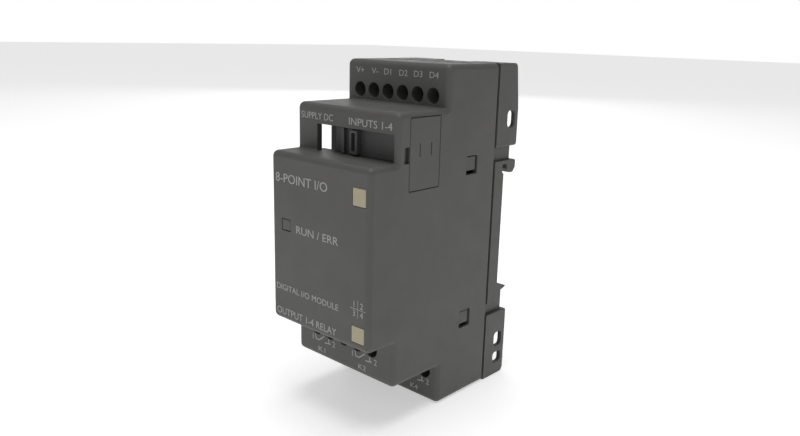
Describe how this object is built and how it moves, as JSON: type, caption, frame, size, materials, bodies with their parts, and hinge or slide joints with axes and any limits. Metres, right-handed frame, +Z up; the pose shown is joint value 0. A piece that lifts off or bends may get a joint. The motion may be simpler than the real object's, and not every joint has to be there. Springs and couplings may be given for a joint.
{
  "type": "digital input output expansion module",
  "caption": "Stepped DIN-rail expansion block with screw terminals, a side coupling slider, a removable socket cover and slide-out mounting tabs.",
  "frame": {"origin": "under the middle of the block, on the plane of its lowest face", "axes": "+Z up along the height, front face towards -Y, rail side towards +Y, +X to the right seen from the front"},
  "size_m": [0.036, 0.057, 0.09],
  "materials": {
    "housing_plastic": "fine spark-eroded moulded grain, dark warm grey",
    "slider_plastic": "moulded satin, slightly darker grey",
    "contact_block": "black moulded glass-filled plastic",
    "label_cream": "smooth cream label plate",
    "screw_steel": "zinc-plated steel",
    "clamp_metal": "nickel-washed brass",
    "circuit_board": "green solder mask",
    "relay_case": "dark moulded relay case",
    "chip_black": "black epoxy",
    "light_pipe_clear": "clear moulded light pipe"
  },
  "bodies": {
    "housing": {"front_housing": "housing_plastic", "rear_base": "housing_plastic", "expansion_socket": "contact_block", "label_plate_top": "label_cream", "label_plate_bottom": "label_cream", "terminal_block_top": "contact_block", "terminal_block_middle": "contact_block", "terminal_block_bottom": "contact_block", "main_board": "circuit_board", "terminal_board": "circuit_board", "bus_board": "circuit_board", "relay_1": "relay_case", "relay_2": "relay_case", "relay_3": "relay_case", "relay_4": "relay_case", "board_header": "chip_black", "microcontroller": "chip_black", "capacitor": "chip_black", "light_pipe": "light_pipe_clear", "status_lamp": "light_pipe_clear"},
    "cover": {"expansion_cover": "housing_plastic"},
    "slider": {"interlock_slider": "slider_plastic", "bus_plug": "contact_block"},
    "top_slide": {"mounting_slide_top": "housing_plastic"},
    "bottom_slide": {"mounting_slide_bottom": "housing_plastic"},
    "screw_top_1": {"terminal_screw_top_1": "screw_steel"},
    "cage_top_1": {"clamp_cage_top_1": "clamp_metal"},
    "screw_top_2": {"terminal_screw_top_2": "screw_steel"},
    "cage_top_2": {"clamp_cage_top_2": "clamp_metal"},
    "screw_top_3": {"terminal_screw_top_3": "screw_steel"},
    "cage_top_3": {"clamp_cage_top_3": "clamp_metal"},
    "screw_top_4": {"terminal_screw_top_4": "screw_steel"},
    "cage_top_4": {"clamp_cage_top_4": "clamp_metal"},
    "screw_top_5": {"terminal_screw_top_5": "screw_steel"},
    "cage_top_5": {"clamp_cage_top_5": "clamp_metal"},
    "screw_top_6": {"terminal_screw_top_6": "screw_steel"},
    "cage_top_6": {"clamp_cage_top_6": "clamp_metal"},
    "screw_middle_1": {"terminal_screw_middle_1": "screw_steel"},
    "cage_middle_1": {"clamp_cage_middle_1": "clamp_metal"},
    "screw_middle_2": {"terminal_screw_middle_2": "screw_steel"},
    "cage_middle_2": {"clamp_cage_middle_2": "clamp_metal"},
    "screw_middle_3": {"terminal_screw_middle_3": "screw_steel"},
    "cage_middle_3": {"clamp_cage_middle_3": "clamp_metal"},
    "screw_middle_4": {"terminal_screw_middle_4": "screw_steel"},
    "cage_middle_4": {"clamp_cage_middle_4": "clamp_metal"},
    "screw_bottom_1": {"terminal_screw_bottom_1": "screw_steel"},
    "cage_bottom_1": {"clamp_cage_bottom_1": "clamp_metal"},
    "screw_bottom_2": {"terminal_screw_bottom_2": "screw_steel"},
    "cage_bottom_2": {"clamp_cage_bottom_2": "clamp_metal"},
    "screw_bottom_3": {"terminal_screw_bottom_3": "screw_steel"},
    "cage_bottom_3": {"clamp_cage_bottom_3": "clamp_metal"},
    "screw_bottom_4": {"terminal_screw_bottom_4": "screw_steel"},
    "cage_bottom_4": {"clamp_cage_bottom_4": "clamp_metal"}
  },
  "joints": [
    {"name": "cover_pull", "type": "slide", "parent": "housing", "child": "cover", "axis": [1, 0, 0], "range_m": [0, 0.015]},
    {"name": "interlock_slide", "type": "slide", "parent": "housing", "child": "slider", "axis": [-1, 0, 0], "range_m": [0, 0.0075]},
    {"name": "top_slide_out", "type": "slide", "parent": "housing", "child": "top_slide", "axis": [0, 0, 1], "range_m": [0, 0.0085]},
    {"name": "bottom_slide_out", "type": "slide", "parent": "housing", "child": "bottom_slide", "axis": [0, 0, -1], "range_m": [0, 0.0085], "stiffness_N_per_m": 1500, "springref_m": -0.002},
    {"name": "screw_turn_top_1", "type": "hinge", "parent": "housing", "child": "screw_top_1", "pos_m": [-0.01285, 0.0037, 0.0821], "axis": [0, 1, 0], "range_deg": [0, 1440]},
    {"name": "cage_lift_top_1", "type": "slide", "parent": "housing", "child": "cage_top_1", "axis": [0, -1, 0], "range_m": [0, 0.002]},
    {"name": "screw_turn_top_2", "type": "hinge", "parent": "housing", "child": "screw_top_2", "pos_m": [-0.00771, 0.0037, 0.0821], "axis": [0, 1, 0], "range_deg": [0, 1440]},
    {"name": "cage_lift_top_2", "type": "slide", "parent": "housing", "child": "cage_top_2", "axis": [0, -1, 0], "range_m": [0, 0.002]},
    {"name": "screw_turn_top_3", "type": "hinge", "parent": "housing", "child": "screw_top_3", "pos_m": [-0.00257, 0.0037, 0.0821], "axis": [0, 1, 0], "range_deg": [0, 1440]},
    {"name": "cage_lift_top_3", "type": "slide", "parent": "housing", "child": "cage_top_3", "axis": [0, -1, 0], "range_m": [0, 0.002]},
    {"name": "screw_turn_top_4", "type": "hinge", "parent": "housing", "child": "screw_top_4", "pos_m": [0.00257, 0.0037, 0.0821], "axis": [0, 1, 0], "range_deg": [0, 1440]},
    {"name": "cage_lift_top_4", "type": "slide", "parent": "housing", "child": "cage_top_4", "axis": [0, -1, 0], "range_m": [0, 0.002]},
    {"name": "screw_turn_top_5", "type": "hinge", "parent": "housing", "child": "screw_top_5", "pos_m": [0.00771, 0.0037, 0.0821], "axis": [0, 1, 0], "range_deg": [0, 1440]},
    {"name": "cage_lift_top_5", "type": "slide", "parent": "housing", "child": "cage_top_5", "axis": [0, -1, 0], "range_m": [0, 0.002]},
    {"name": "screw_turn_top_6", "type": "hinge", "parent": "housing", "child": "screw_top_6", "pos_m": [0.01285, 0.0037, 0.0821], "axis": [0, 1, 0], "range_deg": [0, 1440]},
    {"name": "cage_lift_top_6", "type": "slide", "parent": "housing", "child": "cage_top_6", "axis": [0, -1, 0], "range_m": [0, 0.002]},
    {"name": "screw_turn_middle_1", "type": "hinge", "parent": "housing", "child": "screw_middle_1", "pos_m": [-0.01013, -0.014, 0.01905], "axis": [0, 1, 0], "range_deg": [0, 1440]},
    {"name": "cage_lift_middle_1", "type": "slide", "parent": "housing", "child": "cage_middle_1", "axis": [0, -1, 0], "range_m": [0, 0.002]},
    {"name": "screw_turn_middle_2", "type": "hinge", "parent": "housing", "child": "screw_middle_2", "pos_m": [-0.00499, -0.014, 0.01905], "axis": [0, 1, 0], "range_deg": [0, 1440]},
    {"name": "cage_lift_middle_2", "type": "slide", "parent": "housing", "child": "cage_middle_2", "axis": [0, -1, 0], "range_m": [0, 0.002]},
    {"name": "screw_turn_middle_3", "type": "hinge", "parent": "housing", "child": "screw_middle_3", "pos_m": [0.00529, -0.014, 0.01905], "axis": [0, 1, 0], "range_deg": [0, 1440]},
    {"name": "cage_lift_middle_3", "type": "slide", "parent": "housing", "child": "cage_middle_3", "axis": [0, -1, 0], "range_m": [0, 0.002]},
    {"name": "screw_turn_middle_4", "type": "hinge", "parent": "housing", "child": "screw_middle_4", "pos_m": [0.01043, -0.014, 0.01905], "axis": [0, 1, 0], "range_deg": [0, 1440]},
    {"name": "cage_lift_middle_4", "type": "slide", "parent": "housing", "child": "cage_middle_4", "axis": [0, -1, 0], "range_m": [0, 0.002]},
    {"name": "screw_turn_bottom_1", "type": "hinge", "parent": "housing", "child": "screw_bottom_1", "pos_m": [-0.00728, 0.0037, 0.0085], "axis": [0, 1, 0], "range_deg": [0, 1440]},
    {"name": "cage_lift_bottom_1", "type": "slide", "parent": "housing", "child": "cage_bottom_1", "axis": [0, -1, 0], "range_m": [0, 0.002]},
    {"name": "screw_turn_bottom_2", "type": "hinge", "parent": "housing", "child": "screw_bottom_2", "pos_m": [-0.00214, 0.0037, 0.0085], "axis": [0, 1, 0], "range_deg": [0, 1440]},
    {"name": "cage_lift_bottom_2", "type": "slide", "parent": "housing", "child": "cage_bottom_2", "axis": [0, -1, 0], "range_m": [0, 0.002]},
    {"name": "screw_turn_bottom_3", "type": "hinge", "parent": "housing", "child": "screw_bottom_3", "pos_m": [0.00814, 0.0037, 0.0085], "axis": [0, 1, 0], "range_deg": [0, 1440]},
    {"name": "cage_lift_bottom_3", "type": "slide", "parent": "housing", "child": "cage_bottom_3", "axis": [0, -1, 0], "range_m": [0, 0.002]},
    {"name": "screw_turn_bottom_4", "type": "hinge", "parent": "housing", "child": "screw_bottom_4", "pos_m": [0.01328, 0.0037, 0.0085], "axis": [0, 1, 0], "range_deg": [0, 1440]},
    {"name": "cage_lift_bottom_4", "type": "slide", "parent": "housing", "child": "cage_bottom_4", "axis": [0, -1, 0], "range_m": [0, 0.002]}
  ],
  "couplings": [
    {"joint": "screw_turn_top_1", "follows": "cage_lift_top_1", "rad_per_m": 12566},
    {"joint": "screw_turn_top_2", "follows": "cage_lift_top_2", "rad_per_m": 12566},
    {"joint": "screw_turn_top_3", "follows": "cage_lift_top_3", "rad_per_m": 12566},
    {"joint": "screw_turn_top_4", "follows": "cage_lift_top_4", "rad_per_m": 12566},
    {"joint": "screw_turn_top_5", "follows": "cage_lift_top_5", "rad_per_m": 12566},
    {"joint": "screw_turn_top_6", "follows": "cage_lift_top_6", "rad_per_m": 12566},
    {"joint": "screw_turn_middle_1", "follows": "cage_lift_middle_1", "rad_per_m": 12566},
    {"joint": "screw_turn_middle_2", "follows": "cage_lift_middle_2", "rad_per_m": 12566},
    {"joint": "screw_turn_middle_3", "follows": "cage_lift_middle_3", "rad_per_m": 12566},
    {"joint": "screw_turn_middle_4", "follows": "cage_lift_middle_4", "rad_per_m": 12566},
    {"joint": "screw_turn_bottom_1", "follows": "cage_lift_bottom_1", "rad_per_m": 12566},
    {"joint": "screw_turn_bottom_2", "follows": "cage_lift_bottom_2", "rad_per_m": 12566},
    {"joint": "screw_turn_bottom_3", "follows": "cage_lift_bottom_3", "rad_per_m": 12566},
    {"joint": "screw_turn_bottom_4", "follows": "cage_lift_bottom_4", "rad_per_m": 12566}
  ]
}
